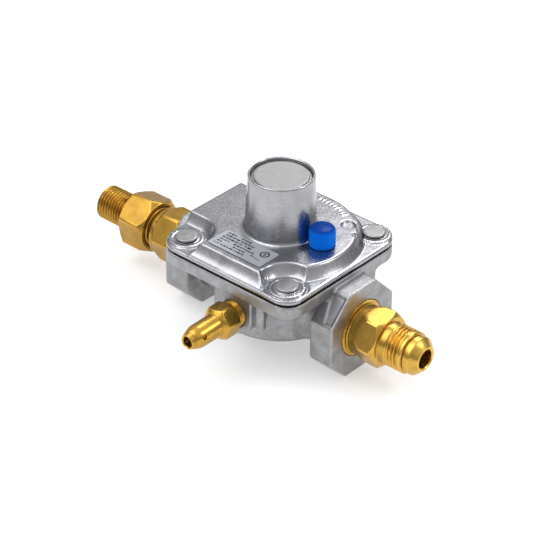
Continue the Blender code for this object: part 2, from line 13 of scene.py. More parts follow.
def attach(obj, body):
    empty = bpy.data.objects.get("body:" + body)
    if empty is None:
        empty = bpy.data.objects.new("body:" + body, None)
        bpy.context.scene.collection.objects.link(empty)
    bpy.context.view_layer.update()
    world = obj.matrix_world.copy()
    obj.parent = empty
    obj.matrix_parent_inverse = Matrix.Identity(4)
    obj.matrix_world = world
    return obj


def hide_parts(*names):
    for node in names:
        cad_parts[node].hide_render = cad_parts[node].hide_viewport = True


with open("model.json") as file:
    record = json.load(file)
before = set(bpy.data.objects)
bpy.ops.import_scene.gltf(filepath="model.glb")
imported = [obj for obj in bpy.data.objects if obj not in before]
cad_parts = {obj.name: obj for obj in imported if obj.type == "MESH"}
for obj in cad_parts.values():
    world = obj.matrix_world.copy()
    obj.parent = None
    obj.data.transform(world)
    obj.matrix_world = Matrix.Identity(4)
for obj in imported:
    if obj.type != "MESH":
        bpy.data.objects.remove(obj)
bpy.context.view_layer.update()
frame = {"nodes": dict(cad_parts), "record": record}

# Lengths are in millimetres until a mesh is made.
MM = 0.001
CELL = 0.34      # grid step of the castings' surfaces

FLANGE_HALF = 31.5      # both flanges, left, right and front of the tower's axis
FLANGE_BACK = 30.5      # both flanges, behind the tower's axis
FLANGE_TOP = 29.7       # cover's flange
FLANGE_LOW = 28.0
BODY_TOP = 27.0         # lower casting's flange
BODY_FLANGE_LOW = 22.1
FOOT_LOW = -8.7         # undersides of the port collars
PLATEAU = 33.9
PAD_TOP = 30.4
TOWER_TOP = 56.1
TOWER_FOOT_R = 13.0
BOWL_R = 23.8
OUTLET_FACE = 38.6      # port collars' faces, measured along the pipe from the tower's axis
INLET_FACE = 41.3
PORT_Z = 8.2            # pipe's axis
TEST_X = 4.6            # test nipple's axis
TEST_Z = 13.7
VENT_X = 18.3           # vent's axis
VENT_Y = 1.1
RIVET_AT = 23.7
RIVET_HOLE_R = 2.6
RIVETS = {"front_left": (-1, -1), "front_right": (1, -1), "rear_left": (-1, 1), "rear_right": (1, 1)}


# Signed distances, negative inside. Blends take the fillet's width in millimetres.

def join(a, b, width=0.0):
    """Union with a fillet."""
    if not width:
        return np.minimum(a, b)
    share = np.clip(0.5 + 0.5 * (b - a) / width, 0, 1)
    return b + (a - b) * share - width * share * (1 - share)


def meet(a, b, width=0.0):
    """Intersection with a rounded edge."""
    return -join(-a, -b, width)


def less(a, b, width=0.0):
    """a with b taken away."""
    return meet(a, -b, width)


def between(value, low, high, width=0.0):
    """Slab between two planes."""
    return meet(low - value, value - high, width)


def smooth_step(value):
    """0 to 1 with level ends."""
    value = np.clip(value, 0, 1)
    return value * value * (3 - 2 * value)


def flange_side(x, y):
    """Outline of the flange with its four corner radii."""
    radius = np.where((x > 0) & (y < 0), 7.0, 9.0)
    qx = np.abs(x) - FLANGE_HALF + radius
    qy = np.abs(y + 0.5) - 31.0 + radius
    return np.minimum(np.maximum(qx, qy), 0) + np.hypot(np.maximum(qx, 0), np.maximum(qy, 0)) - radius


def skin(name, field, low, step):
    """Closed quad mesh of the field's zero surface, one point in each cell that it passes through."""
    inside = field < 0
    shape = np.array(field.shape)
    corners = [np.array((i, j, k)) for i in (0, 1) for j in (0, 1) for k in (0, 1)]

    def at(block, corner):
        i, j, k = corner
        nx, ny, nz = shape - 1
        return block[i:nx + i, j:ny + j, k:nz + k]

    count = sum(at(inside, corner).astype(np.int8) for corner in corners)
    mixed = (count > 0) & (count < 8)
    cells = np.argwhere(mixed)
    number = np.full(mixed.shape, -1, np.int32)
    number[mixed] = np.arange(len(cells))
    values = np.stack([at(field, corner)[mixed] for corner in corners], 1)
    total = np.zeros((len(cells), 3))
    hits = np.zeros(len(cells))
    for a, first in enumerate(corners):
        for b in range(a + 1, 8):
            way = corners[b] - first
            if np.abs(way).sum() != 1:
                continue
            one, two = values[:, a], values[:, b]
            cross = (one < 0) != (two < 0)
            share = np.where(cross, one / np.where(cross, one - two, 1), 0)
            total += np.where(cross[:, None], first + share[:, None] * way, 0)
            hits += cross
    points = (cells + total / hits[:, None]) * step + np.array(low)
    quads = []
    for axis in range(3):
        u, v = (axis + 1) % 3, (axis + 2) % 3
        lower = np.take(inside, range(shape[axis] - 1), axis)
        upper = np.take(inside, range(1, shape[axis]), axis)
        edges = np.argwhere(lower != upper)
        good = (edges[:, u] > 0) & (edges[:, v] > 0)
        good &= (edges[:, u] < shape[u] - 1) & (edges[:, v] < shape[v] - 1)
        edges = edges[good]
        eu = np.eye(3, dtype=int)[u]
        ev = np.eye(3, dtype=int)[v]
        quad = np.stack([number[tuple((edges - back).T)] for back in (eu + ev, ev, 0 * eu, eu)], 1)
        out = lower[tuple(edges.T)]
        quads.append(np.where(out[:, None], quad, quad[:, ::-1]))
    quads = np.concatenate(quads)
    mesh = bpy.data.meshes.new(name)
    mesh.vertices.add(len(points))
    mesh.vertices.foreach_set("co", (points * MM).ravel())
    mesh.loops.add(quads.size)
    mesh.loops.foreach_set("vertex_index", quads.ravel())
    mesh.polygons.add(len(quads))
    mesh.polygons.foreach_set("loop_start", np.arange(len(quads)) * 4)
    mesh.update(calc_edges=True)
    mesh.validate()
    mesh.shade_smooth()
    return mesh


def grid(low, high, step):
    """Open x, y and z axes of a grid of cubes."""
    axes = [np.arange(a - 1.5 * step, b + 1.5 * step, step, dtype=np.float32) for a, b in zip(low, high)]
    return axes[0][:, None, None], axes[1][None, :, None], axes[2][None, None, :]


# Materials

def material(name, colour, roughness, metallic=0.0, blotch=0.25, grain=1.0, blotch_mm=9.0, grain_mm=0.45,
             bump=0.02, stretch=(1, 1, 1), edge=0.0, coat=0.0, wave=0.0, top=None, specular=0.5):
    """Principled surface whose colour, roughness and bump vary.

    Colour is linear and roughness is (low, high). Noise sizes, bump and wave are in millimetres; edge is how much
    shows of the lighter convex edges, edge wear with a painted highlight, and of the painted shade in hollows;
    faces
    that look up take the colour named top: light or shade painted by the way a face looks."""
    made = bpy.data.materials.new(name)
    made.use_nodes = True
    nodes, links = made.node_tree.nodes, made.node_tree.links
    shader = nodes["Principled BSDF"]
    shader.inputs["Metallic"].default_value = metallic
    shader.inputs["Coat Weight"].default_value = coat
    shader.inputs["Coat Roughness"].default_value = 0.08
    shader.inputs["Specular IOR Level"].default_value = specular
    where = nodes.new("ShaderNodeTexCoord")

    def noise(size_mm, detail, ways):
        mapping = nodes.new("ShaderNodeMapping")
        mapping.inputs["Scale"].default_value = [way / (size_mm * MM) for way in ways]
        links.new(where.outputs["Object"], mapping.inputs["Vector"])
        made_noise = nodes.new("ShaderNodeTexNoise")
        made_noise.inputs["Scale"].default_value = 1.0
        made_noise.inputs["Detail"].default_value = detail
        links.new(mapping.outputs["Vector"], made_noise.inputs["Vector"])
        return made_noise.outputs["Fac"]

    def spread(source, low, high, start=0.3, end=0.7):
        change = nodes.new("ShaderNodeMapRange")
        for key, value in (("From Min", start), ("From Max", end), ("To Min", low), ("To Max", high)):
            change.inputs[key].default_value = value
        links.new(source, change.inputs["Value"])
        return change.outputs["Result"]

    def mix(share, a, b):
        blend = nodes.new("ShaderNodeMix")
        blend.data_type = "RGBA"
        for key, value in (("A", a), ("B", b)):
            socket = [s for s in blend.inputs if s.name == key and s.type == "RGBA"][0]
            if isinstance(value, tuple):
                socket.default_value = (*value, 1)
            else:
                links.new(value, socket)
        links.new(share, blend.inputs["Factor"])
        return [s for s in blend.outputs if s.type == "RGBA"][0]

    broad = noise(blotch_mm, 4, (1, 1, 1))
    fine = noise(grain_mm, 6, stretch)
    dark = tuple(c * (1 - blotch) for c in colour)
    light = tuple(min(1.0, c * (1 + blotch * 0.6)) for c in colour)
    shade = mix(spread(broad, 0, 1), dark, light)
    speck = mix(spread(fine, 0, 0.5 * grain), shade, dark)
    rough = spread(fine, roughness[0], roughness[1])
    if edge:
        # Lighter convex edges are edge wear with a painted highlight; darker hollows are painted shade, on the
        # brass also oxide.
        geometry = nodes.new("ShaderNodeNewGeometry")
        worn_edge_and_highlight = spread(geometry.outputs["Pointiness"], 0, edge, 0.51, 0.56)
        speck = mix(worn_edge_and_highlight, speck, tuple(min(1.0, c * 1.35) for c in colour))
        deep = spread(geometry.outputs["Pointiness"], edge, 0, 0.44, 0.49)
        speck = mix(deep, speck, tuple(c * 0.45 for c in colour))
    if top:
        # Painted light and shade: faces that look up are mixed toward the top colour by their normal's Z.
        painted_facing_light = nodes.new("ShaderNodeSeparateXYZ")
        links.new(where.outputs["Normal"], painted_facing_light.inputs["Vector"])
        speck = mix(spread(painted_facing_light.outputs["Z"], 0, 1, 0.15, 0.85), speck, top)
    links.new(speck, shader.inputs["Base Color"])
    links.new(rough, shader.inputs["Roughness"])
    last = None
    for source, distance, weight in ((fine, bump, 0.5), (noise(3.5, 3, (1, 1, 1)), wave, 0.5)):
        if not distance:
            continue
        node = nodes.new("ShaderNodeBump")
        node.inputs["Strength"].default_value = weight
        node.inputs["Distance"].default_value = distance * MM
        links.new(source, node.inputs["Height"])
        if last:
            links.new(last, node.inputs["Normal"])
        last = node.outputs["Normal"]
    if last:
        links.new(last, shader.inputs["Normal"])
    return made


# edge= paints a highlight on convex edges, together with their wear, and painted shade in hollows.
CAST = material("cast_aluminium", (0.36, 0.36, 0.38), (0.20, 0.32), 1.0, 0.14, 0.5, 7, 0.8, 0.006, edge=0.3,
                wave=0.13)
CAST_ROUGH = material("cast_aluminium_rough", (0.36, 0.36, 0.37), (0.36, 0.55), 1.0, 0.26, 0.9, 4, 0.7, 0.15,
                      edge=0.5, wave=0.22)
DISC = material("machined_disc", (0.32, 0.32, 0.32), (0.42, 0.58), 1.0, 0.08, 0.8, 2.5, 0.3, 0.02)
RIVET = material("rivet_aluminium", (0.29, 0.29, 0.29), (0.34, 0.50), 1.0, 0.16, 0.8, 2, 0.3, 0.03, edge=0.4)
BRASS_X = material("brass_turned_x", (0.63, 0.375, 0.075), (0.20, 0.38), 1.0, 0.20, 0.8, 5, 0.35, 0.010,
                   (3, 0.3, 0.3), edge=0.7, wave=0.05)
BRASS_INLET = material("brass_inlet", (0.45, 0.255, 0.045), (0.24, 0.42), 1.0, 0.24, 0.8, 5, 0.35, 0.010,
                       (3, 0.3, 0.3), edge=0.8, wave=0.05)
BRASS_Y = material("brass_turned_y", (0.55, 0.315, 0.055), (0.20, 0.38), 1.0, 0.20, 0.8, 5, 0.35, 0.010,
                   (0.3, 3, 0.3), edge=0.7, wave=0.05)
STEEL = material("zinc_steel", (0.52, 0.52, 0.54), (0.22, 0.38), 1.0, 0.12, 0.6, 6, 0.3, 0.015)
RUBBER = material("black_rubber", (0.006, 0.006, 0.006), (0.75, 0.95), 0.0, 0.3, 0.8, 4, 0.25, 0.03,
                  specular=0.15)
# The blue cap's faces that look up take a darker blue: painted shade on its top.
BLUE = material("blue_plastic", (0.0005, 0.15, 0.76), (0.16, 0.26), 0.0, 0.08, 0.2, 5, 0.4, 0.004, coat=0.0,
                top=(0.0005, 0.038, 0.25), specular=0.05)
WHITE = material("white_plastic", (0.72, 0.72, 0.69), (0.35, 0.5), 0.0, 0.06, 0.4, 5, 0.3, 0.015)
FOIL = material("label_foil", (0.36, 0.37, 0.40), (0.35, 0.5), 0.4, 0.08, 0.5, 4, 0.25, 0.01)
INK = material("label_ink", (0.015, 0.015, 0.018), (0.5, 0.65), 0.0, 0.3, 0.6, 1.0, 0.2, 0.004, specular=0.2)


def finished(name, mesh, look, body, slot, *nodes):
    """Object for a mesh that rides on a body and stands for CAD nodes."""
    made = bpy.data.objects.new(name, mesh)
    bpy.context.scene.collection.objects.link(made)
    mesh.materials.clear()
    mesh.materials.append(look)
    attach(made, body)
    if nodes:
        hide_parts(*nodes)
    return made


# Cover

def groove(away, inner, outer, depth, wall_in, wall_out):
    """Depth of a ring cut between two radii, with sloping walls."""
    return depth * smooth_step((away - inner) / wall_in) * smooth_step((outer - away) / wall_out)


def plateau_height(x, y):
    """Height of the cover's top surface, without the tower."""
    radius = np.hypot(x, y)
    disc = radius - 27.2
    front_half = np.maximum(np.maximum(x - 14, -27.0 - y), y - 2)
    back_half = np.maximum(np.maximum(x - 1, y - 27.2), -y - 2)
    outside = join(join(disc, front_half), back_half)
    frontness = smooth_step((-y - 18) / 6)
    reach = 3.0 + 0.7 * frontness
    power = 1.15 + 0.30 * frontness
    run = np.clip(1 - outside / reach, 0, 1.6)
    rise = PLATEAU - FLANGE_TOP
    height = join(FLANGE_TOP + rise * run ** power, PLATEAU + 0 * x, 0.7)
    for place in ("front_left", "front_right", "rear_left"):
        sx, sy = RIVETS[place]
        ways = [RIVET_AT - sx * x, RIVET_AT - sy * y]
        if sx < 0:
            ways = [np.maximum(way, 0) for way in ways]
        away = np.hypot(*ways)
        wall = np.clip((away - 7.2) / 3.1, 0, 1.7)
        height = join(height, FLANGE_TOP + rise * wall ** (1.25 if sx < 0 else 1.5), 0.7)
    for place, (sx, sy) in RIVETS.items():
        away = np.hypot(x - sx * RIVET_AT, y - sy * RIVET_AT)
        height = meet(height, PAD_TOP - np.maximum(away - 6.4, 0) * 4.0, 0.3)
        deep = 0.75 if place == "front_right" else 0.2
        height = height - groove(away, 4.15, 5.5, deep, 0.35, 0.7)
        height = height - groove(away, 5.75, 6.35, 0.2, 0.25, 0.25)
    # round ejector marks
    for px, py, size, depth in ((16.7, 17.6, 2.9, 1.0), (14.4, -25.6, 1.6, 0.7)):
        away = np.hypot(x - px, y - py)
        height = height - depth * smooth_step((size - away) / 0.9)
    # narrow core mark between the plateau's edge and the rear right pad
    along = (x - 23.6) * 0.55 + (y - 15.4) * 0.835
    across = (x - 23.6) * 0.835 - (y - 15.4) * 0.55
    mark = meet(np.abs(across) - 0.7 + 0.22 * along, np.abs(along) - 2.6)
    height = height - 1.0 * smooth_step(-mark / 0.6)
    # raised bars in an arc near the rear right pad
    for place in range(9):
        turn = math.radians(62 + 4.2 * place)
        along = x * math.cos(turn) + y * math.sin(turn)
        across = -x * math.sin(turn) + y * math.cos(turn)
        half = 0.75 if place % 3 else 1.15
        bar = meet(np.abs(along - 24.4) - half, np.abs(across) - 0.3)
        height = height + 0.22 * smooth_step(0.5 - bar / 0.4)
    return height


def cover_field(x, y, z):
    """Upper casting: flange, plateau and spring tower, hollow underneath."""
    height = plateau_height(x, y)
    lean_x, lean_y = np.gradient(height[:, :, 0], CELL)
    slope = np.sqrt(1 + lean_x ** 2 + lean_y ** 2)[:, :, None]
    field = (z - height) / slope
    field = meet(field, flange_side(x, y), 0.8)
    field = meet(field, FLANGE_LOW - z, 0.3)
    radius = np.hypot(x, y)
    tower = radius - TOWER_FOOT_R + (z - PLATEAU) * (1.0 / (TOWER_TOP - PLATEAU))
    tower = meet(tower, between(z, PLATEAU - 2, TOWER_TOP), 0.55)
    field = join(field, tower, 1.5)
    room = meet(radius - 21.4, z - 31.7)
    room = join(room, meet(radius - 9.6, z - 43))
    room = join(room, meet(radius - 10.3, between(z, 41.8, 54)))
    room = join(room, meet(radius - 10.95, 53.0 - z))
    room = join(room, meet(radius - (z - TOWER_TOP) * 1.0 - 11.35, TOWER_TOP - 1 - z))
    room = join(room, np.hypot(x - VENT_X, y - VENT_Y) - 2.5)
    for sx, sy in RIVETS.values():
        room = join(room, np.hypot(x - sx * RIVET_AT, y - sy * RIVET_AT) - RIVET_HOLE_R)
    return less(field, room, 0.3)


def make_cover():
    low = (-FLANGE_HALF, -FLANGE_HALF, FLANGE_LOW)
    high = (FLANGE_HALF, FLANGE_BACK, TOWER_TOP)
    x, y, z = grid(low, high, CELL)
    mesh = skin("cover_casting", cover_field(x, y, z), [a.min() for a in (x, y, z)], CELL)
    finished("cover_casting", mesh, CAST, "regulator", "cast_aluminium", "cover")


# Lower casting

def octagon(y, z):
    """Section of a port collar round the port's axis; its upper corners are cut a little more."""
    flats = np.maximum(np.abs(y), np.abs(z)) - 16.9
    upper = (np.abs(y) + z) / math.sqrt(2) - 17.04
    lower = (np.abs(y) - z) / math.sqrt(2) - 17.75
    return meet(meet(flats, upper, 0.4), lower, 0.4)


def lower_field(x, y, z):
    """Lower casting: flange, bowl, port collars, test boss and rib, hollow inside."""
    flange = meet(flange_side(x, y), between(z, BODY_FLANGE_LOW, BODY_TOP, 0.3), 0.9)
    radius = np.hypot(x, y)
    edge = 1.7
    qr = radius - BOWL_R + edge + 0 * z
    qz = edge - z + 0 * radius
    bowl = np.minimum(np.maximum(qr, qz), 0) + np.hypot(np.maximum(qr, 0), np.maximum(qz, 0)) - edge
    bowl = meet(bowl, z - 24.5)
    field = join(flange, bowl, 1.4)
    height = z - PORT_Z
    pipe = np.hypot(y, height)
    for side, back, face in ((1, 28.2, OUTLET_FACE), (-1, 30.3, INLET_FACE)):
        along = side * x
        neck = pipe - np.clip(7.0 + (along - 13) * 0.66, 7.0, 11.6)
        neck = meet(neck, between(along, 12, 33))
        field = join(field, neck, 2.2)
        section = octagon(y, height)
        collar = meet(section, along - face, 0.7)
        collar = meet(collar, back - along, 1.6)
        field = join(field, collar, 1.2)
    web = meet(meet(between(x, 20, 31.2), between(y, 4, 16.4), 1.0), between(z, 14.3, 24), 1.0)
    field = join(field, web, 1.2)
    # shallow core mark on the outlet collar's upper front flat
    slant = (-y + height) / math.sqrt(2)
    down = (-y - height) / math.sqrt(2)
    mark = meet(between(x, 31.4, 37.4), 16.5 - slant)
    mark = meet(mark, between(down, -5.2, 5.4))
    mark = meet(mark, (31.4 - x) + (down + 5.2) * 0.28)
    field = less(field, mark, 0.35)
    boss = join(np.hypot(x - TEST_X, z - TEST_Z) - 8.0,
                meet(np.abs(x - TEST_X) - 8.0, between(z, TEST_Z, 23.7)))
    boss = meet(boss, between(y, -30, -14), 0.5)
    field = join(field, boss, 1.2)
    rib = meet(np.hypot(x - TEST_X - 8.0, y + 24.6) - 1.8, between(z, 7.8, 23), 1.0)
    field = join(field, rib, 0.7)
    hollow = meet(radius - 20.0, 17.3 - z)
    hollow = join(hollow, meet(radius - 8.5, between(z, 3.6, 13.8)))
    hollow = join(hollow, meet(radius - 6.2, between(z, 12.8, 18.3)))
    hollow = join(hollow, meet(np.hypot(x - 16, y) - 5.5, between(z, 3.9, 18.3)))
    passage = np.hypot(y, z - 9.4) - 5.8
    for side, start, face in ((1, 16, OUTLET_FACE), (-1, 6.5, INLET_FACE)):
        along = side * x
        hollow = join(hollow, meet(passage, between(along, start, face - 3)))
        hollow = join(hollow, meet(pipe - 10.85, face - 10 - along))
        rim = meet(pipe - 10.9 - (along - face) * 1.0, face - 1.2 - along)
        hollow = join(hollow, rim)
    hollow = join(hollow, meet(np.hypot(x - TEST_X, z - TEST_Z) - 5.3, y + 16))
    for sx, sy in RIVETS.values():
        hole = np.hypot(x - sx * RIVET_AT, y - sy * RIVET_AT) - RIVET_HOLE_R
        hollow = join(hollow, meet(hole, 20 - z))
    field = less(field, hollow, 0.25)
    guide = meet(radius - 4.8, between(z, 3, 6.2))
    field = join(field, guide, 0.3)
    return less(field, meet(radius - 3.4, between(z, 2.6, 7)), 0.1)


def make_lower_body():
    low = (-INLET_FACE, -FLANGE_HALF, FOOT_LOW)
    high = (OUTLET_FACE, FLANGE_BACK, BODY_TOP)
    x, y, z = grid(low, high, CELL)
    mesh = skin("body_casting", lower_field(x, y, z), [a.min() for a in (x, y, z)], CELL)
    finished("body_casting", mesh, CAST_ROUGH, "regulator", "cast_aluminium", "lower_body")


# Turned pieces

TO_X = Matrix.Rotation(math.radians(90), 4, "Y")
TO_MINUS_X = Matrix.Rotation(math.radians(-90), 4, "Y")
TO_MINUS_Y = Matrix.Rotation(math.radians(90), 4, "X")
UPRIGHT = Matrix.Identity(4)


def ramp(z0, r0, z1, r1, steps=1):
    """Plain stations between two radii, the first included."""
    return [(z0 + (z1 - z0) * i / steps, r0 + (r1 - r0) * i / steps) for i in range(steps + 1)]


def rounding(z0, r0, z1, r1, bulge=1, steps=4):
    """Quarter-round between two stations; bulge 1 leaves along the axis, -1 across it."""
    points = []
    for i in range(steps + 1):
        angle = math.pi / 2 * i / steps
        if bulge > 0:
            points.append((z0 + (z1 - z0) * math.sin(angle), r1 + (r0 - r1) * math.cos(angle)))
        else:
            points.append((z1 + (z0 - z1) * math.cos(angle), r0 + (r1 - r0) * math.sin(angle)))
    return points


def threads(z0, z1, r0, r1, pitch, depth, fade=0.7):
    """Stations of a helical thread that fades in and out."""
    steps = int((z1 - z0) / pitch * (14))
    stations = []
    for i in range(steps + 1):
        z = z0 + (z1 - z0) * i / steps
        ends = min((z - z0), (z1 - z)) / (fade * pitch)
        stations.append((z, r0 + (r1 - r0) * i / steps, 0, depth * min(1, max(0, ends)), pitch))
    return stations


def hexagon(z0, z1, across_flats, low_r, low_cut, high_r, high_cut):
    """Stations of a hexagon whose corners are turned down to a radius at each end."""
    corner = across_flats / 2 / math.cos(math.pi / 6)
    stations = [(z, r, across_flats) for z, r in ramp(z0, low_r, z0 + low_cut, corner, 8)]
    return stations + [(z, r, across_flats) for z, r in ramp(z1 - high_cut, corner, z1, high_r, 8)]


def lathe(name, outer, inner, turn, at, clock=0.0, segments=144, flutes=None):
    """Closed mesh through rings of points along an axis.

    A station is height, radius and then, where it has them, across-flats, thread depth and pitch. Without an inner
    line the ends close on the axis. Flutes are (low, high, number, depth)."""
    angle = math.radians(clock) + np.arange(segments) * 2 * math.pi / segments
    rows = []
    for station in outer + (inner or []):
        z, radius, flats, depth, pitch = (tuple(station) + (0, 0, 0))[:5]
        ring = np.full(segments, float(radius))
        if flats:
            swing = (angle - math.radians(clock)) % (math.pi / 3) - math.pi / 6
            flat_r = flats / 2 / np.cos(swing)
            ring = np.minimum(join(ring, flat_r, 0.25), ring)
        if depth:
            phase = (z / pitch - angle / 2 / math.pi) % 1.0
            groove = np.clip((np.abs(2 * phase - 1) - 0.12) / 0.74, 0, 1)
            ring = ring - depth * groove
        if flutes and flutes[0] < z < flutes[1]:
            ring = ring - flutes[3] * (0.5 - 0.5 * np.cos(flutes[2] * angle))
        rows.append(np.stack([ring * np.cos(angle), ring * np.sin(angle), np.full(segments, float(z))], 1))
    points = np.concatenate(rows)
    shape = bmesh.new()
    verts = [shape.verts.new(tuple(point * MM)) for point in points]
    pairs = list(zip(range(len(rows)), range(1, len(rows))))
    if inner:
        pairs.append((len(rows) - 1, 0))
    for a, b in pairs:
        for i in range(segments):
            j = (i + 1) % segments
            shape.faces.new((verts[a * segments + i], verts[a * segments + j],
                             verts[b * segments + j], verts[b * segments + i]))
    bmesh.ops.remove_doubles(shape, verts=shape.verts, dist=1e-7)
    bmesh.ops.dissolve_degenerate(shape, edges=shape.edges, dist=1e-7)
    bmesh.ops.transform(shape, matrix=Matrix.Translation([v * MM for v in at]) @ turn, verts=shape.verts)
    bmesh.ops.recalc_face_normals(shape, faces=shape.faces)
    mesh = bpy.data.meshes.new(name)
    shape.to_mesh(mesh)
    shape.free()
    mesh.shade_smooth()
    mesh.set_sharp_from_angle(angle=math.radians(38))
    return mesh


def bore(low, high, radius, chamfer=0.35):
    """Inner line from the top end back to the bottom end."""
    return [(high, radius + chamfer), (high - chamfer, radius),
            (low + chamfer, radius), (low, radius + chamfer)]


HALF_PITCH = 1.814      # pipe thread in the port collars
FLARE_PITCH = 1.411     # flare thread, and the inlet stub's pipe thread
EIGHTH_PITCH = 0.94     # test nipple's pipe thread


def flare_end(shoulder, thread_end, tip):
    """Plain neck, flare thread, relief groove and rounded seat to the open tip."""
    line = [(shoulder, 8.5)] + rounding(shoulder, 8.5, shoulder + 0.5, 7.6, -1) + [(shoulder + 2.6, 7.6)]
    line += [(shoulder + 3.0, 7.94)]
    line += threads(shoulder + 3.0, thread_end - 1.2, 7.94, 7.9, FLARE_PITCH, 0.8)
    line += [(thread_end - 0.1, 7.9), (thread_end + 0.1, 7.75)]
    line += [(thread_end + 0.35, 6.9), (thread_end + 0.6, 6.9)]
    line += rounding(thread_end + 0.6, 6.9, thread_end + 0.9, 7.15, -1)
    line += [(tip - 2.9, 7.15), (tip - 2.6, 7.05), (tip - 2.2, 6.7), (tip - 0.35, 4.85)]
    line += rounding(tip - 0.35, 4.85, tip, 4.35)
    return line


def make_outlet_connector():
    line = [(29.2, 9.6), (30.4, 10.35)]
    line += threads(30.4, 38.4, 10.4, 10.65, HALF_PITCH, 0.95)
    line += [(38.5, 10.3), (38.7, 9.8), (38.9, 9.45), (39.1, 9.75), (39.4, 9.75), (39.6, 9.4)]
    line += [(41.0, 9.4), (41.6, 9.45)]
    line += hexagon(41.6, 51.0, 18.8, 9.45, 4.0, 9.3, 1.5)
    line += [(51.2, 9.0)]
    line += flare_end(51.2, 61.2, 66.9)
    mesh = lathe("outlet_connector", line, bore(29.2, 66.9, 3.6), TO_X, (0, 0, PORT_Z), 94)
    finished("outlet_flare_fitting", mesh, BRASS_X, "regulator", "brass", "outlet_connector")


def make_inlet_connector():
    line = [(31.9, 9.6), (33.1, 10.3)]
    line += threads(33.1, 43.4, 10.4, 10.65, HALF_PITCH, 0.95)
    line += [(43.6, 9.3), (45.6, 9.3)]
    line += hexagon(45.6, 56.0, 18.8, 9.4, 1.4, 9.5, 1.6)
    line += [(56.1, 9.4), (57.2, 9.4)] + rounding(57.2, 9.4, 57.5, 9.1)
    line += flare_end(57.5, 64.6, 69.2)
    mesh = lathe("inlet_connector", line, bore(31.9, 69.2, 3.6), TO_MINUS_X, (0, 0, PORT_Z), 37)
    finished("inlet_flare_fitting", mesh, BRASS_INLET, "regulator", "brass", "inlet_connector")


def make_inlet_adapter():
    line = [(60.3, 8.8), (60.3, 9.7)] + rounding(60.3, 9.7, 60.6, 10.0, -1)
    line += hexagon(60.6, 72.5, 20.0, 10.0, 2.4, 10.3, 0.7)
    line += [(72.5, 7.6)] + rounding(72.5, 7.6, 73.1, 6.8, -1)
    line += threads(73.3, 87.7, 6.9, 6.8, FLARE_PITCH, 0.85, 0.5)
    line += [(87.9, 6.2)] + rounding(87.9, 6.2, 88.4, 5.6)
    inside = [(88.4, 4.3), (88.0, 3.9), (70.4, 3.9), (69.6, 4.7), (66.6, 8.14), (61.0, 8.14), (60.4, 8.6)]
    mesh = lathe("inlet_adapter", line, inside, TO_MINUS_X, (0, 0, PORT_Z), 50)
    finished("inlet_pipe_adapter", mesh, BRASS_INLET, "regulator", "brass", "inlet_adapter")


def make_test_nipple():
    line = [(21.0, 4.4), (21.8, 4.8)]
    line += threads(21.8, 32.0, 4.8, 5.1, EIGHTH_PITCH, 0.5)
    line += [(32.2, 4.8)]
    line += hexagon(32.4, 39.8, 11.4, 5.4, 0.8, 4.75, 1.7)
    line += rounding(39.8, 4.7, 40.2, 4.35, -1)
    line += [(48.6, 4.3), (49.6, 4.2), (51.0, 3.75), (52.0, 3.3), (52.1, 3.15), (52.3, 3.15), (52.4, 3.2)]
    line += [(53.2, 2.85)] + rounding(53.2, 2.85, 53.6, 2.5)
    mesh = lathe("test_nipple", line, bore(21.0, 53.6, 2.05, 0.25), TO_MINUS_Y, (TEST_X, 0, TEST_Z), 10, 120)
    made = finished("pressure_test_nipple", mesh, BRASS_Y, "regulator", "brass", "test_nipple")
    drill = lathe("cross_hole_drill", [(0, 0), (0, 0.9), (8, 0.9), (8, 0)], None,
                  Matrix.Rotation(math.radians(90 - 19), 4, "Y"), (TEST_X, -48.8, TEST_Z), 0, 24)
    guide = bpy.data.objects.new("cross_hole_drill", drill)
    bpy.context.scene.collection.objects.link(guide)
    cut = made.modifiers.new("cross_hole", "BOOLEAN")
    cut.operation = "DIFFERENCE"
    cut.solver = "EXACT"
    cut.object = guide
    bake_modifiers(made)
    bpy.data.objects.remove(guide)


def bake_modifiers(made):
    """Replace an object's mesh by its evaluated shape."""
    bpy.context.view_layer.update()
    graph = bpy.context.evaluated_depsgraph_get()
    shape = bpy.data.meshes.new_from_object(made.evaluated_get(graph))
    made.modifiers.clear()
    made.data = shape
    shape.set_sharp_from_angle(angle=math.radians(38))


def make_rivets():
    low = BODY_FLANGE_LOW - 0.2
    head = PAD_TOP + 0.2
    line = [(low - 1.0, 0), (low - 1.0, 2.9)] + rounding(low - 1.0, 2.9, low - 0.6, 3.6, -1)
    line += [(low, 3.6), (low, 2.4), (head, 2.4), (head, 3.9)] + rounding(head, 3.95, head + 0.35, 4.15, -1)
    line += rounding(head + 0.35, 4.15, head + 0.8, 3.6) + [(head + 0.82, 3.1), (head + 0.79, 2.6)]
    line += [(head + 0.85, 1.6), (head + 0.86, 0)]
    for place, (sx, sy) in RIVETS.items():
        node = f"flange_rivet_{place}"
        mesh = lathe(node, line, None, UPRIGHT, (sx * RIVET_AT, sy * RIVET_AT, 0), 0, 64)
        finished(f"rivet_{place}", mesh, RIVET, "regulator", "rivet_aluminium", node)


def make_seal_cap():
    low = 53.2
    line = [(low, 0), (low, 10.5), (low + 0.25, 10.78), (low + 0.5, 10.78)]
    line += [(low + 0.5, 10.05), (low + 1.4, 10.05), (low + 1.4, 10.78)]
    line += [(low + 1.45, 10.7), (low + 1.5, 10.3), (low + 1.55, 10.0)]
    line += rounding(low + 1.55, 10.0, low + 2.0, 9.7)
    line += [(low + 1.98, 9.0), (low + 1.95, 6.0), (low + 1.97, 3.0), (low + 1.98, 0)]
    mesh = lathe("seal_cap", line, None, UPRIGHT, (0, 0, 0), 0, 128)
    finished("tower_seal_disc", mesh, DISC, "seal_cap", "cast_aluminium", "seal_cap")


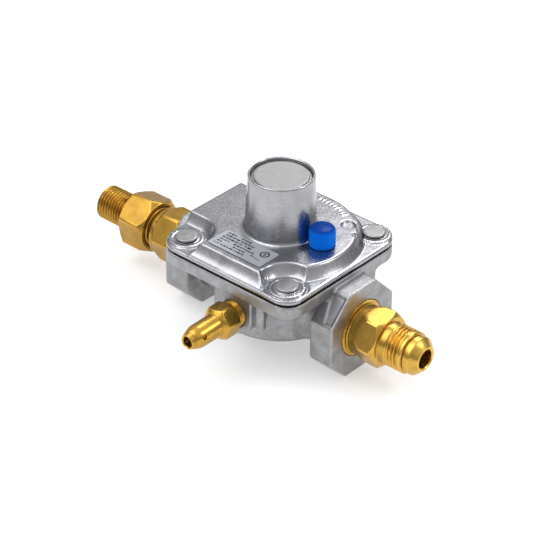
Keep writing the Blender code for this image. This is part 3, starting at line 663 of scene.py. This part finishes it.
def make_vent_cap():
    low = PLATEAU + 0.2
    top = PLATEAU + 7.6
    line = [(low, 3.6)] + rounding(low, 4.6, low + 0.3, 4.82, -1) + ramp(low + 0.5, 4.85, low + 0.7, 4.85)
    line += ramp(low + 0.75, 4.85, top - 2.4, 4.82, 6) + [(top - 2.2, 4.82)]
    line += rounding(top - 2.2, 4.82, top - 0.3, 3.3, 1, 9)
    line += [(top - 0.12, 2.4), (top - 0.03, 1.4), (top, 0.6), (top, 0)]
    inside = [(top - 1.8, 0), (top - 1.8, 2.3), (top - 2.0, 2.5), (low + 1.1, 2.5), (low + 1.1, 3.6)]
    mesh = lathe("vent_cap", line + inside, None, UPRIGHT, (VENT_X, VENT_Y, 0), 0, 160,
                 (low + 0.72, top - 2.25, 16, 0.10))
    finished("blue_vent_cap", mesh, BLUE, "vent_cap", "blue_plastic", "vent_cap")


def make_adjusting_screw():
    low, top = 46.6, 50.4
    line = [(low, 0), (low, 9.4), (low + 0.4, 9.7)]
    line += threads(low + 0.4, top - 0.5, 10.1, 10.1, 1.5, 0.7, 0.3)
    line += [(top - 0.4, 9.7)] + rounding(top - 0.4, 9.6, top, 9.2) + [(top, 0)]
    mesh = lathe("adjusting_screw", line, None, UPRIGHT, (0, 0, 0), 0, 128)
    made = finished("spring_adjusting_screw", mesh, WHITE, "adjuster", "white_plastic", "adjusting_screw")
    shape = bmesh.new()
    bmesh.ops.create_cube(shape, size=1.0)
    bmesh.ops.transform(shape, matrix=Matrix.Translation((0, 0, (top - 0.3) * MM)) @
                        Matrix.Diagonal((15 * MM, 1.8 * MM, 3 * MM, 1)), verts=shape.verts)
    slot_mesh = bpy.data.meshes.new("slot_cutter")
    shape.to_mesh(slot_mesh)
    shape.free()
    guide = bpy.data.objects.new("slot_cutter", slot_mesh)
    bpy.context.scene.collection.objects.link(guide)
    cut = made.modifiers.new("slot", "BOOLEAN")
    cut.operation = "DIFFERENCE"
    cut.solver = "EXACT"
    cut.object = guide
    bake_modifiers(made)
    bpy.data.objects.remove(guide)


# Label

LABEL_LOW = PLATEAU + 0.1
LABEL_HIGH = LABEL_LOW + 0.25
LABEL_Y = -19.8


def slab(shape, outline, low, high):
    """Add a thin solid with that outline to a bmesh."""
    below = [shape.verts.new((x * MM, y * MM, low * MM)) for x, y in outline]
    above = [shape.verts.new((x * MM, y * MM, high * MM)) for x, y in outline]
    shape.faces.new(below[::-1])
    shape.faces.new(above)
    for i in range(len(outline)):
        j = (i + 1) % len(outline)
        shape.faces.new((below[i], below[j], above[j], above[i]))


def hoop(shape, x, y, inner, outer, low, high, steps=40):
    """Add a thin flat ring to a bmesh."""
    rings = []
    for radius, z in ((inner, low), (outer, low), (outer, high), (inner, high)):
        angles = [2 * math.pi * i / steps for i in range(steps)]
        rings.append([shape.verts.new(((x + radius * math.cos(a)) * MM, (y + radius * math.sin(a)) * MM, z * MM))
                      for a in angles])
    for a in range(4):
        near, far = rings[a], rings[(a + 1) % 4]
        for i in range(steps):
            j = (i + 1) % steps
            shape.faces.new((near[i], near[j], far[j], far[i]))


def rectangle(x, y, width, depth, corner=0.0):
    """Outline of a rectangle with rounded corners."""
    points = []
    for turn, (sx, sy) in enumerate(((1, 1), (-1, 1), (-1, -1), (1, -1))):
        centre = (x + sx * (width / 2 - corner), y + sy * (depth / 2 - corner))
        for step in range(5 if corner else 1):
            angle = math.radians(90 * turn + 22.5 * step)
            points.append((centre[0] + corner * math.cos(angle), centre[1] + corner * math.sin(angle)))
    return points


def make_label():
    shape = bmesh.new()
    slab(shape, rectangle(0, LABEL_Y, 24.4, 10.6, 0.6), LABEL_LOW, LABEL_HIGH)
    mesh = bpy.data.meshes.new("label")
    shape.to_mesh(mesh)
    shape.free()
    finished("label", mesh, FOIL, "regulator", "label_foil", "label_plate")

    dice = random.Random(7)
    shape = bmesh.new()
    top = LABEL_HIGH + 0.012
    for row in range(6):
        y = LABEL_Y + 4.1 - 1.52 * row
        x = -10.9 + dice.uniform(0, 0.6)
        end = dice.uniform(2.0, 5.6) if row % 2 else dice.uniform(-1.0, 4.0)
        while x < end:
            width = dice.uniform(0.4, 1.8)
            height = dice.choice((0.55, 0.7, 0.85))
            if dice.random() < 0.86:
                slab(shape, rectangle(x + width / 2, y, width, height), LABEL_HIGH, top)
            x += width + dice.uniform(0.22, 0.5)
    for x, y, width in ((5.6, -21.6, 1.5), (7.6, -21.9, 0.9), (9.0, -22.2, 0.6)):
        slab(shape, rectangle(x, y, width, 0.5), LABEL_HIGH, top)
    mark_x, mark_y = 8.4, -18.0
    hoop(shape, mark_x, mark_y, 1.25, 1.85, LABEL_HIGH, top)
    slab(shape, rectangle(mark_x, mark_y, 0.7, 1.5), LABEL_HIGH, top)
    mesh = bpy.data.meshes.new("label_print")
    shape.to_mesh(mesh)
    shape.free()
    finished("label_print", mesh, INK, "regulator", "label_foil")


# CAD nodes that keep their shape

def dress_frame():
    looks = {"cast_aluminium": CAST, "rivet_aluminium": RIVET, "brass": BRASS_Y, "steel": STEEL,
             "black_rubber": RUBBER, "blue_plastic": BLUE, "white_plastic": WHITE, "label_foil": FOIL}
    for part in frame["record"]["subparts"]:
        node = frame["nodes"][part["node"]]
        node.data.materials.clear()
        node.data.materials.append(looks[part["material_slot"]])


# Stage, light and camera

def make_stage():
    mesh = bpy.data.meshes.new("floor")
    half = 4.0
    floor_z = (FOOT_LOW - 0.05) * MM
    corners = [(sx * half, sy * half, floor_z) for sx, sy in ((-1, -1), (1, -1), (1, 1), (-1, 1))]
    mesh.from_pydata(corners, [], [(0, 1, 2, 3)])
    floor = bpy.data.objects.new("floor", mesh)
    bpy.context.scene.collection.objects.link(floor)
    paper = material("pale_floor", (0.62, 0.62, 0.62), (0.8, 0.95), 0.0, 0.01, 0.02, 60, 2.0, 0.0)
    shader = paper.node_tree.nodes["Principled BSDF"]
    shader.inputs["Emission Color"].default_value = (1, 1, 1, 1)
    shader.inputs["Emission Strength"].default_value = 0.42
    mesh.materials.append(paper)


def area_light(name, azimuth, elevation, distance, size, power, colour=(1, 1, 1)):
    """Soft square light aimed at the part; azimuth 0 is in front, at -Y."""
    a, e = math.radians(azimuth), math.radians(elevation)
    way = Vector((math.sin(a) * math.cos(e), -math.cos(a) * math.cos(e), math.sin(e)))
    data = bpy.data.lights.new(name, "AREA")
    data.size = size
    data.energy = power
    data.color = colour
    made = bpy.data.objects.new(name, data)
    bpy.context.scene.collection.objects.link(made)
    made.location = way * distance
    made.rotation_mode = "QUATERNION"
    made.rotation_quaternion = way.to_track_quat("Z", "Y")


def make_light():
    """Bright overhead, mid-grey walls and a dark skyline, with soft boxes over the back and the left."""
    world = bpy.data.worlds.new("studio")
    world.use_nodes = True
    nodes, links = world.node_tree.nodes, world.node_tree.links
    where = nodes.new("ShaderNodeTexCoord")
    split = nodes.new("ShaderNodeSeparateXYZ")
    links.new(where.outputs["Generated"], split.inputs["Vector"])
    ramp_node = nodes.new("ShaderNodeValToRGB")
    links.new(split.outputs["Z"], ramp_node.inputs["Fac"])
    stops = ((0.0, 0.16), (0.12, 0.28), (0.40, 0.66), (0.70, 0.80), (1.0, 1.15))
    elements = ramp_node.color_ramp.elements
    while len(elements) < len(stops):
        elements.new(0.5)
    for element, (place, value) in zip(elements, stops):
        element.position = place
        element.color = (value * 0.97, value * 0.985, value, 1)
    links.new(ramp_node.outputs["Color"], nodes["Background"].inputs["Color"])
    nodes["Background"].inputs["Strength"].default_value = 1.0
    bpy.context.scene.world = world
    area_light("key", -35, 58, 0.9, 0.80, 4.4)
    area_light("back", 205, 48, 0.9, 0.30, 2.2)
    area_light("side", 120, 40, 0.9, 0.25, 1.6)
    bpy.context.scene.view_settings.view_transform = "Standard"


def make_camera():
    azimuth, elevation, roll = math.radians(41.26), math.radians(33.12), math.radians(0.65)
    aim = Vector((6.99, -15.43, 27.5)) * MM
    back = Vector((math.sin(azimuth) * math.cos(elevation), -math.cos(azimuth) * math.cos(elevation),
                   math.sin(elevation)))
    right = Vector((math.cos(azimuth), math.sin(azimuth), 0))
    up = back.cross(right)
    side = right * math.cos(roll) + up * math.sin(roll)
    top = up * math.cos(roll) - right * math.sin(roll)
    data = bpy.data.cameras.new("camera")
    data.sensor_width = 36.0
    data.lens = 2022 / 533 * 36.0
    data.clip_start = 0.01
    camera = bpy.data.objects.new("camera", data)
    bpy.context.scene.collection.objects.link(camera)
    frame_matrix = Matrix((side, top, back)).transposed().to_4x4()
    camera.matrix_world = Matrix.Translation(aim + back * 0.709) @ frame_matrix
    bpy.context.scene.camera = camera


make_cover()
make_lower_body()
make_outlet_connector()
make_inlet_connector()
make_inlet_adapter()
make_test_nipple()
make_rivets()
make_seal_cap()
make_vent_cap()
make_adjusting_screw()
make_label()
dress_frame()
make_stage()
make_light()
make_camera()
